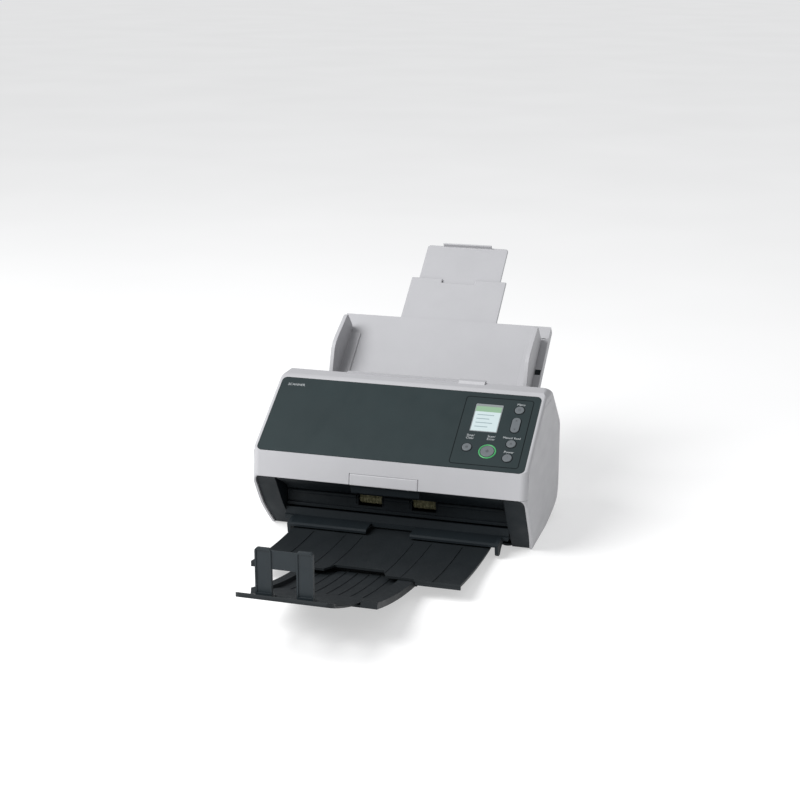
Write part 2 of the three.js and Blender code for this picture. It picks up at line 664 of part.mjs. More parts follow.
// A fin, its foot through the slot, and a rack to the pinion in the middle.
function makeSideGuide(side) {
  const { inner, outer, slotAt, rackNear, rackFar } = guide;
  const fin = prismX([
    [-28, 0.4], [-30, 3], [-30, 8], [-12, 21], [10, 34.6], [18, 36.4], [27, 35.4],
    [64, 28], [67, 25], [69, 4], [66, 0.4],
  ], ...span(side, inner, outer));
  const flange = box(span(side, inner - 12, inner + 0.5), [-24, 60], [0.4, 1.6]);
  const foot = box(span(side, inner, outer), [slotAt - 2.4, slotAt + 2.4], [rackBottom, 1]);
  const [near, far] = [slotAt + side * 2, slotAt + side * rackFar].sort((a, b) => a - b);
  const carriage = box(span(side, inner, outer), [near, far], [rackBottom, rackTop]);
  const rackY = [slotAt + side * rackNear, slotAt + side * rackFar].sort((a, b) => a - b);
  const rack = box(side < 0 ? [-inner - 1, 14] : [-14, inner + 1], rackY, [rackBottom, rackTop]);
  return join(fin, flange, foot, carriage, rack);
}

function makeGuidePinion() {
  const across = gear(guide.rackNear - 0.3, 0, rackBottom + 0.4, rackTop);
  const geometry = geometryOf(across).rotateY(-PI / 2);
  return solid(geometry.translate(0, guide.slotAt, 0));
}

const extension1 = { half: 58, from: 70.5, to: 152.5 };
const extension2 = { half: 50, from: 131, to: 206 };

function makeExtension1() {
  const { half, from, to } = extension1;
  const plate = box([-half, half], [from, to], [-6, -3.4]);
  return cut(plate, box([-20, 20], [to - 6, to + 1], [-9, 0]));
}

function makeExtension2() {
  const { half, from, to } = extension2;
  const plate = prismZ(roundedRectangle(-half, half, from, to, 4), -9, -6.4);
  return join(plate, box([-30, 30], [to - 2, to], [-9, -1]));
}

// ---- Stacker ----

function makeTray() {
  const { front, middleFront, rear, halfWidth: half, thickness } = tray;
  const plate = curvedPlate([-half, half], [front, rear], [0, thickness]);
  const flangeDepth = 5.6;
  const flanges = [[-half, stage1.left - 1], [stage1.right + 2, half]].map(
    (across) => curvedPlate(across, [front + gap, front + gap + 2], [1, flangeDepth]),
  );
  const runners = [[stage1.left - 2.6, stage1.left - 0.6], [stage1.right + 0.6, stage1.right + 2.6]].map(
    (across) => curvedPlate(across, [-192, -60], [1, 8.2]),
  );
  const recess = prismZ([[-26.6, -176], [25, -176], [34, front - 1], [-33, front - 1]], 0, 60);
  const setBack = box([stage1.left, stage1.right + 1], [front - 1, middleFront], [0, 60]);
  const groove = (across, depth) => curvedPlate(across, [front - 1, -79], [-1, depth]);
  const lines = [-47.5, -28.5, 28.5, 47.5].map((x) => groove([x - 0.5, x + 0.5], 0.5));
  const bands = bothSides((side) => groove(span(side, 80.5, 84), 0.7));
  return cut(join(plate, ...flanges, ...runners), recess, setBack, ...lines, ...bands);
}

// A shallow channel: two rails, an end wall and a grooved floor, which the second stage runs in.
function makeStage1() {
  const { front, rear, left, right, channel } = stage1;
  const floor = curvedPlate([left, right], [front, rear], [7.4, 9.3]);
  const rails = [[left, channel[0]], [channel[1], right]].map(
    (across) => curvedPlate(across, [front, rear], [2.9, 9.3]),
  );
  const grooves = [-40, -28, -16, -4, 8, 20, 32].map(
    (x) => curvedPlate([x, x + 2.4], [front + 12, rear - 6], [7, 8]),
  );
  const endWall = curvedPlate([channel[0] - 1, channel[1] + 1], [rear - gap - 2, rear - gap], [3.1, 9]);
  return cut(join(floor, ...rails, endWall), ...grooves);
}

function makeStage2() {
  const { front, rear, left, right, cornerRadius } = stage2;
  const { centre: middle, post: [postInner, postOuter] } = stopper;
  const play = 0.8;
  const plate = curvedPlate([left, right], [front, rear], [5.4, 7.1]);
  const bar = curvedPlate([left, right], [front, front + 8.4], [3.1, 7.1]);
  const plan = prismZ(roundedRectangle(left, right, front - 2, rear + 1, cornerRadius), 0, 100);
  const [spindleY] = stopperAxis;
  const spindleSlot = box(
    [middle - postOuter - play, middle + postOuter + play], [spindleY - 2.9, spindleY + 2.9], [0, 100],
  );
  const postSlots = bothSides((side) => {
    const across = span(side, postInner - play, postOuter + play).map((x) => x + middle);
    return box(across, [spindleY, spindleY + stopper.height + 2], [0, 100]);
  });
  return cut(join(plate, bar).intersect(plan), spindleSlot, ...postSlots);
}

// Two channel shaped posts on a spindle, with a cross plate between their upper parts.
function makeStopper() {
  const { post: [inner, outer], height, halfThickness: half, plateHeight } = stopper;
  const [rim, cornerRadius, channelDepth] = [1.5, 3, 0.8];
  const posts = bothSides((side) => {
    const [x0, x1] = span(side, inner, outer);
    const outline = prismY(roundedRectangle(x0, x1, -rim, height, cornerRadius), -half, half);
    return cut(outline, box([x0 + rim, x1 - rim], [-half - 1, -half + channelDepth], [5, height - 2]));
  });
  const reach = inner + 0.5;
  const plate = box([-reach, reach], [-0.9, 0.3], [height - rim - plateHeight, height - rim]);
  return join(...posts, rod(1.5, -reach, reach, 0, 0, 16), plate);
}

// ---- Inside, and sockets ----

function makeMainBoard() {
  const board = box([-118, 118], [74, 75.6], [34, 98]);
  const chips = [[-90, 60, 16, 16], [-60, 76, 12, 9], [40, 70, 20, 20], [78, 56, 10, 14]].map(
    ([x, z, width, height]) => box([x, x + width], [71.8, 74.5], [z, z + height]),
  );
  return join(board, ...chips);
}

function makeUsbPort() {
  const shell = box([-30.4, -18], [76, 84.7], [50, 61]);
  return cut(shell, box([-28.6, -19.8], [78, 90], [51.6, 59.4]));
}

function makePowerInlet() {
  const block = box([14.2, 25.8], [76, 84.7], [50, 61]);
  const bore = new THREE.CylinderGeometry(3.4, 3.4, 10, 20).translate(20, 82.6, 55.5);
  const pin = new THREE.CylinderGeometry(0.9, 0.9, 7, 12).translate(20, 80.6, 55.5);
  return join(cut(block, solid(bore)), solid(pin));
}

function addChassis() {
  piece('floor_pan', makeFloorPan(), black());
  piece('left_side_frame', makeSideFrame(-1), black());
  piece('right_side_frame', makeSideFrame(1), black());
  piece('left_side_cover', makeSideCover(-1), shellGrey());
  piece('right_side_cover', makeSideCover(1), shellGrey());
  piece('rear_cover', makeRearCover(), shellGrey());
  piece('mid_plate', makeMidPlate(), black());
  piece('stacker_shelf', makeShelf(), black());
  piece('lower_paper_guide', makeLowerGuide(), black());
  piece('lower_scan_glass', makeScanGlass(-1), glass());
  piece('lower_image_sensor', makeImageSensor(-1), black());
  piece('main_board', makeMainBoard(), boardGreen());
  piece('usb_port', makeUsbPort(), steel());
  piece('power_inlet', makePowerInlet(), black());
  placed(piece('drive_motor', rod(14.5, 97, frame.inner - gap), steel()), centre.pinion);
  for (const [name, x, y] of [
    ['front_left_foot', -118, -26], ['front_right_foot', 118, -26],
    ['rear_left_foot', -118, 28], ['rear_right_foot', 118, 28],
  ]) {
    piece(name, post(7, 0, body.floor - gap, x, y), rubber());
  }
  for (const [name, side] of [['left_hinge_pin', -1], ['right_hinge_pin', 1]]) {
    const pin = rod(hinge.radius, ...span(side, frame.inner - 1, 134), 0, 0, 16);
    placed(piece(name, pin, steel()), [hinge.y, hinge.z]);
  }
}

function addCover() {
  piece('adf_cover', makeCoverShell(), shellGrey());
  piece('upper_paper_guide', makeUpperGuide(), black());
  piece('upper_scan_glass', makeScanGlass(1), glass());
  piece('upper_image_sensor', makeImageSensor(1), black());
  piece('cover_latch', makeLatch(), shellGrey());
  addPanelPieces();
}

function addChute() {
  piece('paper_chute', makeChute(), shellGrey(), chuteGroup);
  piece('left_side_guide', makeSideGuide(-1), shellGrey(), chuteGroup);
  piece('right_side_guide', makeSideGuide(1), shellGrey(), chuteGroup);
  piece('guide_pinion', makeGuidePinion(), gearWhite(), chuteGroup);
  piece('chute_extension_1', makeExtension1(), shellGrey(), chuteGroup);
  piece('chute_extension_2', makeExtension2(), shellGrey(), chuteGroup);
}

function addStacker() {
  piece('stacker_tray', makeTray(), trayBlack());
  piece('stacker_extension_1', makeStage1(), trayBlack());
  piece('stacker_extension_2', makeStage2(), trayBlack());
  placed(piece('stacker_stopper', makeStopper(), plastic(0x384044, 0.5)), stopperAxis, stopper.centre);
}

addChassis();
addRollerTrain();
addCover();
addChute();
addStacker();

export default scanner;
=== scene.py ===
"""Looks for the sheet fed document scanner: materials and soft edges for the CAD nodes, small printed and
moulded details, light and camera. Metres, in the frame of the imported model."""

import json
import math

import bmesh
import bpy
from mathutils import Matrix, Vector


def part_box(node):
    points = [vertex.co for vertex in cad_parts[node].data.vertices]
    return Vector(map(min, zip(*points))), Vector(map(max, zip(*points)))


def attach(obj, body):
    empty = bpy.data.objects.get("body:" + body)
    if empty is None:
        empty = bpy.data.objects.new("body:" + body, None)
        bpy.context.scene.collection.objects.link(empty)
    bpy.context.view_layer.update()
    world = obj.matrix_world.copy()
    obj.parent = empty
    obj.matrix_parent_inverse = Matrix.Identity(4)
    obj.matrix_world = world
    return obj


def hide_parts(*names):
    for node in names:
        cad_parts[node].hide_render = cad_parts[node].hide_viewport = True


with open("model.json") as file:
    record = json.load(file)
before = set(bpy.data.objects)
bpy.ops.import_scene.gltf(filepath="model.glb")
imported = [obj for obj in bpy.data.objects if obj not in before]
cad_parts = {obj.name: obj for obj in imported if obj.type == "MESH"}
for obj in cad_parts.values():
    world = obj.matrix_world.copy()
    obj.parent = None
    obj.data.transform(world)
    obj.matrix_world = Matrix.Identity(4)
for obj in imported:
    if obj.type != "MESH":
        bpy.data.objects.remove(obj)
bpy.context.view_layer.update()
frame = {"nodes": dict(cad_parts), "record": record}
nodes = frame["nodes"]

MM = 0.001

# ---- Places on the control panel: an inclined plane, x across and y up its slope ----

PANEL_TILT = math.radians(33)
PANEL_THICKNESS = 1.9 * MM
PANEL_SINK = 0.1 * MM  # the dark panel lies this far below the plane
_, panel_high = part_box("front_panel")
panel_top = Vector((
    0,
    panel_high.y - PANEL_THICKNESS * math.sin(PANEL_TILT),
    panel_high.z + PANEL_SINK * math.cos(PANEL_TILT),
))
panel_plane = Matrix.Translation(panel_top) @ Matrix.Rotation(PANEL_TILT, 4, "X")
PRINT_HEIGHT = -0.08  # printed pieces lie just above the dark panel, mm


def on_panel(across, down, above=0.0):
    """The matrix of a place on the panel, given in millimetres across, down the slope and above it."""
    return panel_plane @ Matrix.Translation(Vector((across, -down, above)) * MM)


# ---- Node materials ----


def new_material(name):
    """A node material, with its tree, its shader and the place on the piece."""
    material = bpy.data.materials.new(name)
    material.use_nodes = True
    tree = material.node_tree
    shader = tree.nodes["Principled BSDF"]
    place = tree.nodes.new("ShaderNodeTexCoord").outputs["Object"]
    return material, tree, shader, place


def noise(tree, place, size, detail, stretch=(1, 1, 1)):
    """A noise whose blotches are about this size, in metres."""
    mapping = tree.nodes.new("ShaderNodeMapping")
    mapping.inputs["Scale"].default_value = [1 / (size * s) for s in stretch]
    tree.links.new(place, mapping.inputs["Vector"])
    texture = tree.nodes.new("ShaderNodeTexNoise")
    texture.inputs["Scale"].default_value = 1.0
    texture.inputs["Detail"].default_value = detail
    tree.links.new(mapping.outputs["Vector"], texture.inputs["Vector"])
    return texture.outputs["Fac"]


def ramp(tree, value, low, high, start=0.3, end=0.7):
    """A colour between low and high, as the value goes from start to end."""
    node = tree.nodes.new("ShaderNodeValToRGB")
    node.color_ramp.elements[0].position = start
    node.color_ramp.elements[1].position = end
    node.color_ramp.elements[0].color = (*low, 1)
    node.color_ramp.elements[1].color = (*high, 1)
    tree.links.new(value, node.inputs["Fac"])
    return node.outputs["Color"]


def level(tree, value, low, high, start=0.3, end=0.7):
    """A number between low and high, as the value goes from start to end."""
    node = tree.nodes.new("ShaderNodeMapRange")
    for socket, number in (("From Min", start), ("From Max", end), ("To Min", low), ("To Max", high)):
        node.inputs[socket].default_value = number
    tree.links.new(value, node.inputs["Value"])
    return node.outputs["Result"]


def add_bump(tree, shader, height, depth, strength):
    """Raises the surface by a height pattern, up to depth metres."""
    node = tree.nodes.new("ShaderNodeBump")
    node.inputs["Strength"].default_value = strength
    node.inputs["Distance"].default_value = depth
    tree.links.new(height, node.inputs["Height"])
    tree.links.new(node.outputs["Normal"], shader.inputs["Normal"])


def shade(colour, factor):
    """The colour made lighter or darker."""
    return tuple(min(channel * factor, 1.0) for channel in colour)


def edges(tree, reach):
    """Near 1 on outer edges and 0 on flat places: how open the inside of the piece is."""
    node = tree.nodes.new("ShaderNodeAmbientOcclusion")
    node.inside = True
    node.samples = 4
    node.inputs["Distance"].default_value = reach
    return level(tree, node.outputs["AO"], low=1.0, high=0.0, start=0.0, end=0.5)


def mix(tree, share, first, second):
    """The first colour, with this share of the second."""
    node = tree.nodes.new("ShaderNodeMix")
    node.data_type = "RGBA"
    tree.links.new(share, node.inputs["Factor"])
    tree.links.new(first, node.inputs["A"])
    node.inputs["B"].default_value = (*second, 1)
    return node.outputs["Result"]


# An edge turned paler, by wear and by a painted highlight, keeps this share of its colour and gains this
# much white.
RUBBED_AND_LIT_COLOUR = 0.6
RUBBED_AND_LIT_WHITE = 0.25


def rub_and_highlight_edges(tree, place, base, colour, wear_and_highlight):
    """The base colour, turned paler in patches along the outer edges by wear and by a painted highlight;
    wear_and_highlight is the most it turns paler.
    """
    rubbed_and_lit = level(tree, noise(tree, place, size=5 * MM, detail=4), low=0.0, high=wear_and_highlight)
    share = tree.nodes.new("ShaderNodeMath")
    share.operation = "MULTIPLY"
    tree.links.new(edges(tree, 0.8 * MM), share.inputs[0])
    tree.links.new(rubbed_and_lit, share.inputs[1])
    paler = tuple(channel * RUBBED_AND_LIT_COLOUR + RUBBED_AND_LIT_WHITE for channel in colour)
    return mix(tree, share.outputs["Value"], base, paler)


def moulded(name, colour, roughness, grain, relief, mottle, specular=0.5, wear_and_highlight=0.0):
    """Spark eroded moulded plastic: fine grain, slight colour drift, worn edges with a painted highlight,
    and marks in its gloss.
    """
    material, tree, shader, place = new_material(name)
    drift = noise(tree, place, size=40 * MM, detail=4)
    base = ramp(tree, drift, shade(colour, 1 - mottle), shade(colour, 1 + mottle))
    # Paler outer edges: partly wear, partly a painted highlight.
    if wear_and_highlight:
        base = rub_and_highlight_edges(tree, place, base, colour, wear_and_highlight)
    tree.links.new(base, shader.inputs["Base Color"])
    smears = noise(tree, place, size=12 * MM, detail=5, stretch=(1, 2.5, 1))
    gloss = level(tree, smears, low=roughness - 0.06, high=roughness + 0.07)
    tree.links.new(gloss, shader.inputs["Roughness"])
    add_bump(tree, shader, noise(tree, place, size=grain, detail=2), depth=relief, strength=0.6)
    shader.inputs["Specular IOR Level"].default_value = specular
    return material


def brushed(name, colour, roughness):
    """Ground steel, with fine lines along X."""
    material, tree, shader, place = new_material(name)
    lines = noise(tree, place, size=0.4 * MM, detail=3, stretch=(60, 1, 1))
    base = ramp(tree, lines, shade(colour, 0.8), shade(colour, 1.1))
    gloss = level(tree, lines, low=roughness - 0.08, high=roughness + 0.12)
    tree.links.new(base, shader.inputs["Base Color"])
    tree.links.new(gloss, shader.inputs["Roughness"])
    add_bump(tree, shader, lines, depth=0.01 * MM, strength=0.4)
    shader.inputs["Metallic"].default_value = 1.0
    return material


def rubbery(name, colour, worn):
    """Matt rubber with a dusty, slightly polished tread."""
    material, tree, shader, place = new_material(name)
    dust = noise(tree, place, size=3 * MM, detail=5)
    base = ramp(tree, dust, colour, worn, start=0.4, end=0.75)
    gloss = level(tree, dust, low=0.95, high=0.75)
    tree.links.new(base, shader.inputs["Base Color"])
    tree.links.new(gloss, shader.inputs["Roughness"])
    add_bump(tree, shader, noise(tree, place, size=0.5 * MM, detail=4), depth=0.05 * MM, strength=0.7)
    return material


def board(name, colour, copper):
    """A circuit board: solder mask with faint tracks under it."""
    material, tree, shader, place = new_material(name)
    track_spacing = 14 * MM
    tracks = tree.nodes.new("ShaderNodeTexBrick")
    tracks.inputs["Scale"].default_value = 1 / track_spacing
    tracks.inputs["Mortar Size"].default_value = 0.03
    tracks.inputs["Color1"].default_value = (*colour, 1)
    tracks.inputs["Color2"].default_value = (*shade(colour, 0.85), 1)
    tracks.inputs["Mortar"].default_value = (*copper, 1)
    tree.links.new(place, tracks.inputs["Vector"])
    tree.links.new(tracks.outputs["Color"], shader.inputs["Base Color"])
    shader.inputs["Roughness"].default_value = 0.4
    add_bump(tree, shader, noise(tree, place, size=2 * MM, detail=3), depth=0.05 * MM, strength=0.5)
    return material


def glassy(name, colour, roughness):
    """Coated glass with faint wipe marks."""
    material, tree, shader, place = new_material(name)
    wipes = noise(tree, place, size=9 * MM, detail=4, stretch=(3, 1, 1))
    base = ramp(tree, wipes, shade(colour, 0.94), colour)
    gloss = level(tree, wipes, low=roughness, high=roughness + 0.08)
    tree.links.new(base, shader.inputs["Base Color"])
    tree.links.new(gloss, shader.inputs["Roughness"])
    shader.inputs["Coat Weight"].default_value = 1.0
    return material


def lit(name, colour, strength):
    """A backlit print: its own colour glows a little, with a fine dot structure."""
    material, tree, shader, place = new_material(name)
    dots = noise(tree, place, size=0.5 * MM, detail=1)
    tinted = ramp(tree, dots, shade(colour, 0.93), colour)
    tree.links.new(tinted, shader.inputs["Base Color"])
    tree.links.new(tinted, shader.inputs["Emission Color"])
    shader.inputs["Emission Strength"].default_value = strength
    shader.inputs["Roughness"].default_value = 0.3
    return material


materials = {
    "light_shell": moulded(
        "light_shell", (0.40, 0.40, 0.415), roughness=0.5,
        grain=0.8 * MM, relief=0.02 * MM, mottle=0.02, specular=0.4, wear_and_highlight=0.12,
    ),
    "dark_panel": moulded(
        "dark_panel", (0.014, 0.024, 0.026), roughness=0.5,
        grain=0.6 * MM, relief=0.03 * MM, mottle=0.06, specular=0.28, wear_and_highlight=0.05,
    ),
    "black_frame": moulded(
        "black_frame", (0.009, 0.013, 0.016), roughness=0.6,
        grain=0.8 * MM, relief=0.04 * MM, mottle=0.1, specular=0.2, wear_and_highlight=0.05,
    ),
    "tray_plastic": moulded(
        "tray_plastic", (0.012, 0.015, 0.017), roughness=0.55,
        grain=0.7 * MM, relief=0.04 * MM, mottle=0.1, specular=0.22, wear_and_highlight=0.1,
    ),
    "stopper_plastic": moulded(
        "stopper_plastic", (0.013, 0.019, 0.023), roughness=0.48,
        grain=0.7 * MM, relief=0.03 * MM, mottle=0.06, specular=0.3, wear_and_highlight=0.12,
    ),
    "button_plastic": moulded(
        "button_plastic", (0.113, 0.126, 0.135), roughness=0.42,
        grain=0.5 * MM, relief=0.02 * MM, mottle=0.04, specular=0.35,
    ),
    "gear_plastic": moulded(
        "gear_plastic", (0.60, 0.58, 0.52), roughness=0.45,
        grain=0.6 * MM, relief=0.02 * MM, mottle=0.04,
    ),
    "black_rubber": rubbery("black_rubber", (0.018, 0.018, 0.02), worn=(0.06, 0.06, 0.06)),
    "khaki_rubber": rubbery("khaki_rubber", (0.10, 0.095, 0.045), worn=(0.23, 0.22, 0.13)),
    "steel": brushed("steel", (0.55, 0.56, 0.58), roughness=0.32),
    "scan_glass": glassy("scan_glass", (0.10, 0.13, 0.14), roughness=0.06),
    "screen": glassy("screen", (0.22, 0.24, 0.25), roughness=0.15),
    "circuit_board": board("circuit_board", (0.02, 0.11, 0.05), copper=(0.10, 0.22, 0.09)),
}


def print_ink(name, colour, grain):
    """A thin print, nearly smooth."""
    return moulded(name, colour, roughness=0.5, grain=grain, relief=0.005 * MM, mottle=0.05)


# ---- CAD nodes: materials, and soft edges by modifiers ----

# The width of the rounding along the sharp edges.
EDGE_WIDTH = {
    "light_shell": 1.2 * MM, "dark_panel": 0.35 * MM, "black_frame": 0.5 * MM, "tray_plastic": 0.5 * MM,
    "stopper_plastic": 0.6 * MM, "button_plastic": 0.6 * MM, "black_rubber": 0.4 * MM,
}
DEFAULT_EDGE = 0.25 * MM
WELD_REACH = 0.002 * MM
FLAT_ANGLE = math.radians(0.3)  # facets that meet at less than this are merged
SHARP_ANGLE = math.radians(32)  # edges steeper than this are rounded
CREASE_ANGLE = math.radians(38)  # edges steeper than this stay sharp in the shading


def crease_group():
    """A modifier group that keeps every edge sharp that is still steep after the bevel."""
    group = bpy.data.node_groups.new("crease", "GeometryNodeTree")
    group.interface.new_socket("Geometry", in_out="INPUT", socket_type="NodeSocketGeometry")
    group.interface.new_socket("Geometry", in_out="OUTPUT", socket_type="NodeSocketGeometry")
    start = group.nodes.new("NodeGroupInput")
    end = group.nodes.new("NodeGroupOutput")
    angle = group.nodes.new("GeometryNodeInputMeshEdgeAngle")
    steep = group.nodes.new("FunctionNodeCompare")
    steep.data_type = "FLOAT"
    steep.operation = "GREATER_THAN"
    steep.inputs["B"].default_value = CREASE_ANGLE
    sharpen = group.nodes.new("GeometryNodeSetShadeSmooth")
    sharpen.domain = "EDGE"
    sharpen.inputs["Shade Smooth"].default_value = False
    group.links.new(angle.outputs["Unsigned Angle"], steep.inputs["A"])
    group.links.new(steep.outputs["Result"], sharpen.inputs["Selection"])
    group.links.new(start.outputs["Geometry"], sharpen.inputs["Geometry"])
    group.links.new(sharpen.outputs["Geometry"], end.inputs["Geometry"])
    return group


crease = crease_group()


def soften(piece, width):
    """Welds the facets, merges flat ones, rounds the sharp edges and shades the rest smoothly."""
    piece.data.polygons.foreach_set("use_smooth", [True] * len(piece.data.polygons))
    weld = piece.modifiers.new("weld", "WELD")
    weld.merge_threshold = WELD_REACH
    flatten = piece.modifiers.new("flatten", "DECIMATE")
    flatten.decimate_type = "DISSOLVE"
    flatten.angle_limit = FLAT_ANGLE
    bevel = piece.modifiers.new("bevel", "BEVEL")
    bevel.width = width
    bevel.segments = 3
    bevel.limit_method = "ANGLE"
    bevel.angle_limit = SHARP_ANGLE
    bevel.use_clamp_overlap = True
    sharpen = piece.modifiers.new("crease", "NODES")
    sharpen.node_group = crease
    normals = piece.modifiers.new("normals", "WEIGHTED_NORMAL")
    normals.keep_sharp = True


def dress_nodes():
    """Gives each CAD node the material of its slot, and soft edges."""
    for subpart in frame["record"]["subparts"]:
        node = nodes[subpart["node"]]
        slot = subpart["material_slot"]
        node.data.materials.clear()
        node.data.materials.append(materials[slot])
        soften(node, EDGE_WIDTH.get(slot, DEFAULT_EDGE))


# ---- Shapes of the small pieces ----


def add_piece(name, mesh, material, body, place=Matrix.Identity(4)):
    """Puts a mesh into the scene as a piece that rides on a body."""
    piece = bpy.data.objects.new(name, mesh)
    bpy.context.scene.collection.objects.link(piece)
    piece.matrix_world = place
    mesh.materials.append(material)
    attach(piece, body)
    return piece


def rounded_outline(width, height, radius, steps=5):
    """The corner points of a rounded rectangle about the origin, anticlockwise."""
    points = []
    for quarter, (sx, sy) in enumerate(((1, 1), (-1, 1), (-1, -1), (1, -1))):
        for step in range(steps + 1):
            angle = (quarter + step / steps) * math.pi / 2
            points.append((
                sx * (width / 2 - radius) + radius * math.cos(angle),
                sy * (height / 2 - radius) + radius * math.sin(angle),
            ))
    return points


def add_wall(shape, here, there):
    """Adds a face from each side of one loop of points to the same side of another loop."""
    count = len(here)
    for i in range(count):
        j = (i + 1) % count
        shape.faces.new((here[i], here[j], there[j], there[i]))


def bridge(shape, loops):
    """Adds a wall from each loop of points to the next, and from the last one to the first."""
    for here, there in zip(loops, loops[1:] + loops[:1]):
        add_wall(shape, here, there)


def closed_mesh(name, shape):
    """The mesh of a closed shape, its faces turned outwards."""
    bmesh.ops.recalc_face_normals(shape, faces=shape.faces)
    mesh = bpy.data.meshes.new(name)
    shape.to_mesh(mesh)
    shape.free()
    return mesh


def slab(name, outline, thickness):
    """A closed plate of an outline, from z = 0 up."""
    shape = bmesh.new()
    foot = [shape.verts.new((x, y, 0)) for x, y in outline]
    top = [shape.verts.new((x, y, thickness)) for x, y in outline]
    shape.faces.new(foot)
    shape.faces.new(top)
    add_wall(shape, foot, top)
    return closed_mesh(name, shape)


def band(name, outer, inner, thickness):
    """A closed flat band between two outlines that have the same number of points."""
    shape = bmesh.new()
    corners = ((outer, 0), (outer, thickness), (inner, thickness), (inner, 0))
    bridge(shape, [[shape.verts.new((x, y, z)) for x, y in outline] for outline, z in corners])
    return closed_mesh(name, shape)


def turned(name, profile, steps):
    """A smooth solid of revolution about z, from a closed profile of radius and height in millimetres."""
    shape = bmesh.new()
    rings = []
    for step in range(steps):
        angle = 2 * math.pi * step / steps
        rings.append([
            shape.verts.new((radius * MM * math.cos(angle), radius * MM * math.sin(angle), height * MM))
            for radius, height in profile
        ])
    bridge(shape, rings)
    for face in shape.faces:
        face.smooth = True
    return closed_mesh(name, shape)


# ---- The control panel: words, shadow gaps, symbols, display and ring ----

INK_THICKNESS = 0.02 * MM
# Printed words: name, words, across, down and letter size, mm.
LABELS = (
    ("label_title", "SCANNER", -127.5, 10, 4.4),
    ("label_menu", "Menu", 125.4, 12.7, 3.9),
    ("label_feed", "Manual Feed", 124.2, 58.9, 3.7),
    ("label_power", "Power", 124.7, 77.8, 3.9),
    ("label_stop", "Stop/\nClear", 80.4, 61.3, 3.9),
    ("label_scan", "Scan/\nEnter", 102.6, 60.9, 3.9),
)


def add_label(name, words, across, down, size, material):
    """A generic word printed on the panel, centred on its place."""
    curve = bpy.data.curves.new(name, "FONT")
    curve.body = words
    curve.size = size * MM
    curve.align_x = "CENTER"
    curve.align_y = "CENTER"
    curve.extrude = INK_THICKNESS / 2
    curve.space_line = 0.95
    text = bpy.data.objects.new(name, curve)
    bpy.context.scene.collection.objects.link(text)
    depsgraph = bpy.context.evaluated_depsgraph_get()
    mesh = bpy.data.meshes.new_from_object(text.evaluated_get(depsgraph))
    mesh.name = name
    bpy.data.objects.remove(text)
    mesh.materials.clear()
    mesh.transform(on_panel(across, down, PRINT_HEIGHT))
    add_piece(name, mesh, material, "feeder_cover")


def add_printing():
    """The words beside the keys."""
    print_grey = print_ink("print_grey", (0.40, 0.42, 0.43), grain=0.5 * MM)
    for name, words, across, down, size in LABELS:
        add_label(name, words, across, down, size, print_grey)


# Round keys: across, down and radius, mm.
KEYS = {
    "menu": (125, 20.6, 5), "feed": (125, 66.8, 5), "power": (124.6, 85.8, 5), "stop": (79.7, 76, 5),
}
# Across, down, width and height, mm.
ROCKER = (124.8, 41.5, 9, 20)
BEZEL = (101.75, 52.25, 72.7, 91.7)
SCAN_KEY = (102.3, 79.4)  # across and down, mm
KEY_TOP = 0.9  # the keys stand this far above the panel, mm

# Painted shadow bands over the gaps, mm.
GAP_SHADOW = {"thickness": 0.03, "bezel_corner": 3, "bezel_width": 0.9, "key_width": 0.8, "key_room": 0.9}
FULLY_ROUND = 0.01  # a radius this much under half the width makes a round end, mm


def add_gap_shadows():
    """Dark bands of painted shadow over the gaps round the control bezel, the round keys and the rocker."""
    # Each gap gets a thin dark band laid over it: painted shadow.
    dark = moulded(
        "groove_shadow", (0.006, 0.008, 0.009), roughness=0.8,
        grain=0.5 * MM, relief=0.01 * MM, mottle=0.1, specular=0.1,
    )

    def add_shadow_band(name, across, down, width, height, radius, spread):
        """A band of painted shadow along a rounded rectangle, half outside and half inside it."""
        outer, inner = (
            rounded_outline((width + grow) * MM, (height + grow) * MM, (radius + grow / 2) * MM, steps=12)
            for grow in (spread, -spread)
        )
        mesh = band(name, outer, inner, GAP_SHADOW["thickness"] * MM)
        add_piece(name, mesh, dark, "feeder_cover", on_panel(across, down, PRINT_HEIGHT))

    add_shadow_band("groove_shadow_bezel", *BEZEL, GAP_SHADOW["bezel_corner"], GAP_SHADOW["bezel_width"])
    holes = {name: (across, down, 2 * radius, 2 * radius) for name, (across, down, radius) in KEYS.items()}
    holes["rocker"] = ROCKER
    for name, (across, down, width, height) in holes.items():
        hole_width, hole_height = width + GAP_SHADOW["key_room"], height + GAP_SHADOW["key_room"]
        corner = hole_width / 2 - FULLY_ROUND
        add_shadow_band(f"groove_{name}", across, down, hole_width, hole_height, corner, GAP_SHADOW["key_width"])


def bar(up, width, height):
    """The corners of a level rectangle with its middle this far up, mm."""
    left, right = -width / 2, width / 2
    bottom, top = up - height / 2, up + height / 2
    return [(left, bottom), (right, bottom), (right, top), (left, top)]


def arrow(base, tip, width):
    """The corners of an upright or inverted triangle, anticlockwise, mm."""
    corners = [(-width / 2, base), (width / 2, base), (0, tip)]
    return corners if tip > base else corners[::-1]


def diamond(reach):
    """The corners of a square that stands on one of them, mm."""
    return [(0, -reach), (reach, 0), (0, reach), (-reach, 0)]


